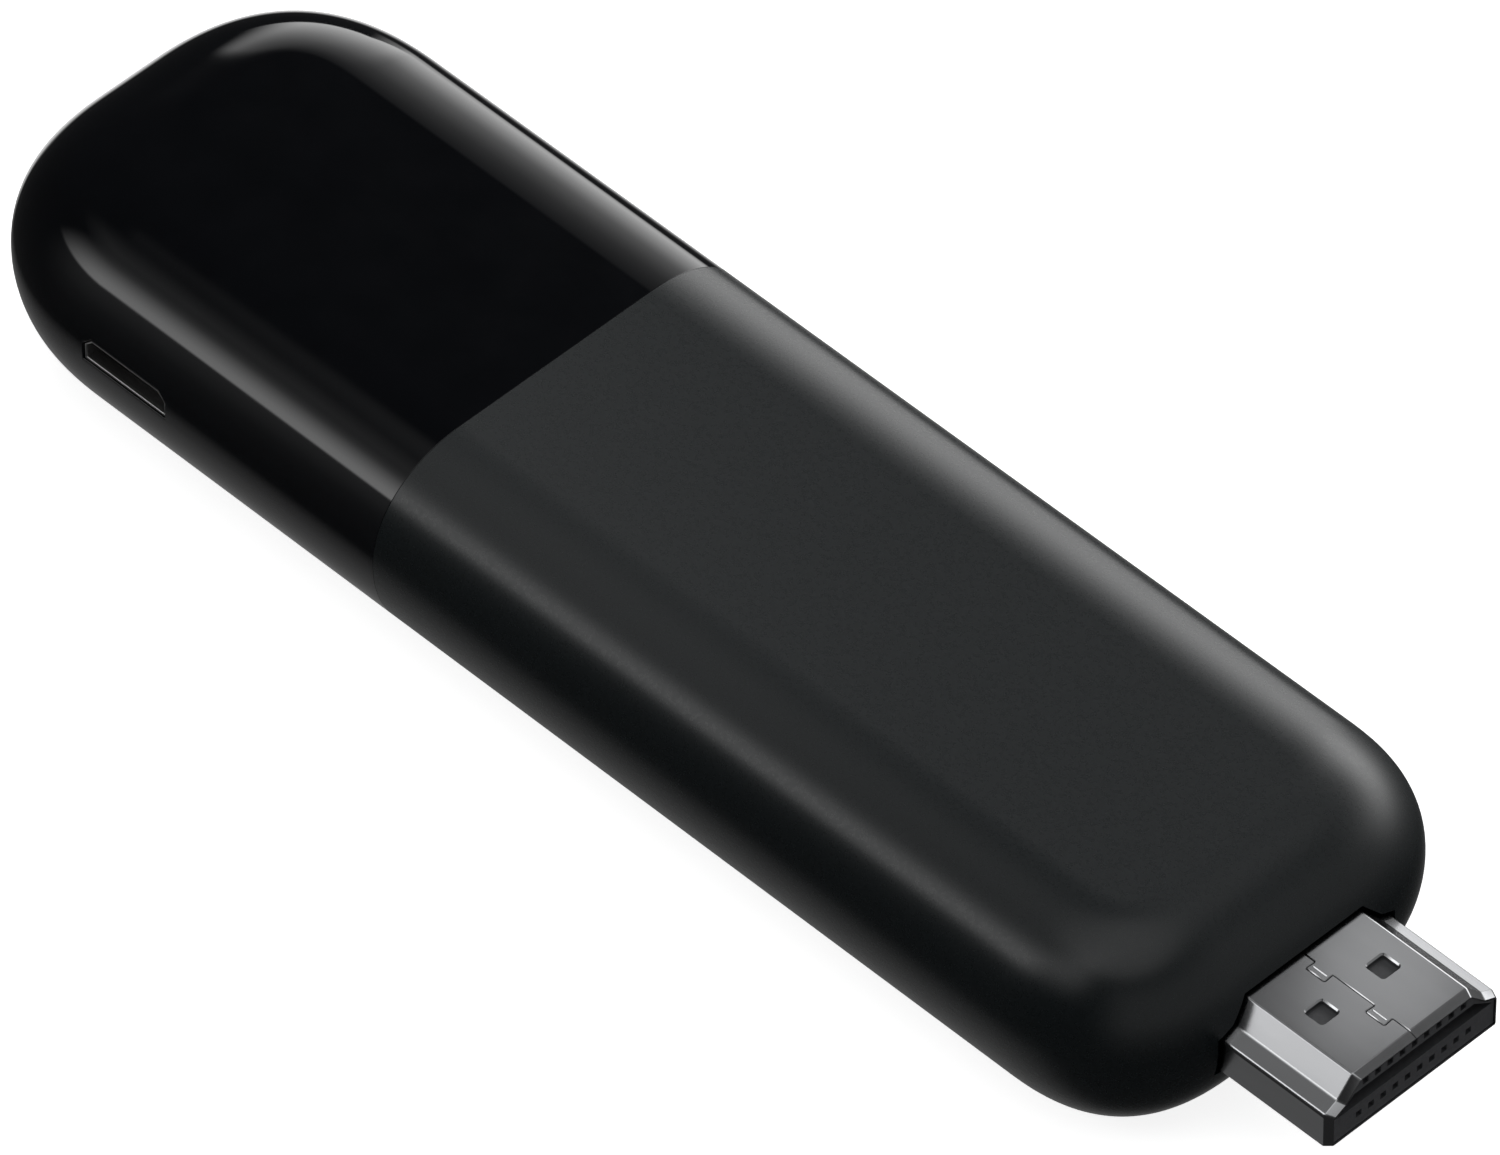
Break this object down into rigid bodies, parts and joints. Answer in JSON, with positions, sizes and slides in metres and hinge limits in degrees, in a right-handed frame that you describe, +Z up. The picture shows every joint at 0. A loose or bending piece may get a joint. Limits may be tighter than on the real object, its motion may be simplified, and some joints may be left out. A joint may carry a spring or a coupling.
{
  "type": "streaming stick",
  "caption": "Slim black media streaming stick with a matte sleeve, a glossy rear cap, a steel video plug at one end and a small power port in one long side.",
  "frame": {"origin": "under the middle of the whole stick, on the surface it lies on", "axes": "+X along the stick, out of the video plug; +Y across it, away from the power port; +Z up, out of the face with the plug's narrow side"},
  "size_m": [0.1076, 0.0302, 0.0142],
  "materials": {
    "matte_case": "fine matte texture, charcoal",
    "gloss_case": "piano-black gloss",
    "inner_plastic": "moulded black",
    "plug_steel": "nickel-plated, satin",
    "insulator_black": "moulded black",
    "contact_gold": "gold-plated",
    "port_steel": "tin-plated",
    "shield_steel": "tinned sheet",
    "board_green": "solder mask",
    "chip_black": "moulded epoxy",
    "ceramic_tan": "ceramic",
    "ferrite_grey": "ferrite",
    "spreader_aluminium": "stamped",
    "pad_silicone": "soft silicone",
    "screw_steel": "black-zinc",
    "antenna_metal": "plated sheet"
  },
  "bodies": {
    "root": {"front_sleeve": "matte_case", "rear_cap": "gloss_case", "board_carrier": "inner_plastic", "carrier_screws": "screw_steel", "main_board": "board_green", "capacitors": "ceramic_tan", "resistors": "chip_black", "upper_shield_frame": "shield_steel", "upper_shield_lid": "shield_steel", "lower_shield_frame": "shield_steel", "lower_shield_lid": "shield_steel", "left_antenna": "antenna_metal", "right_antenna": "antenna_metal", "plug_shell": "plug_steel", "plug_insulator": "insulator_black", "plug_rear_shield": "shield_steel", "lower_plug_contacts": "contact_gold", "upper_plug_contacts": "contact_gold", "processor": "chip_black", "memory_chip": "chip_black", "flash_chip": "chip_black", "power_manager": "chip_black", "wireless_module": "shield_steel", "power_inductors": "ferrite_grey", "crystals": "shield_steel", "signal_filters": "ferrite_grey", "processor_pad": "pad_silicone", "upper_thermal_pad": "pad_silicone", "flash_pad": "pad_silicone", "lower_thermal_pad": "pad_silicone", "upper_heat_spreader": "spreader_aluminium", "lower_heat_spreader": "spreader_aluminium", "port_shell": "port_steel", "port_tongue": "insulator_black", "port_contacts": "contact_gold"}
  },
  "joints": []
}
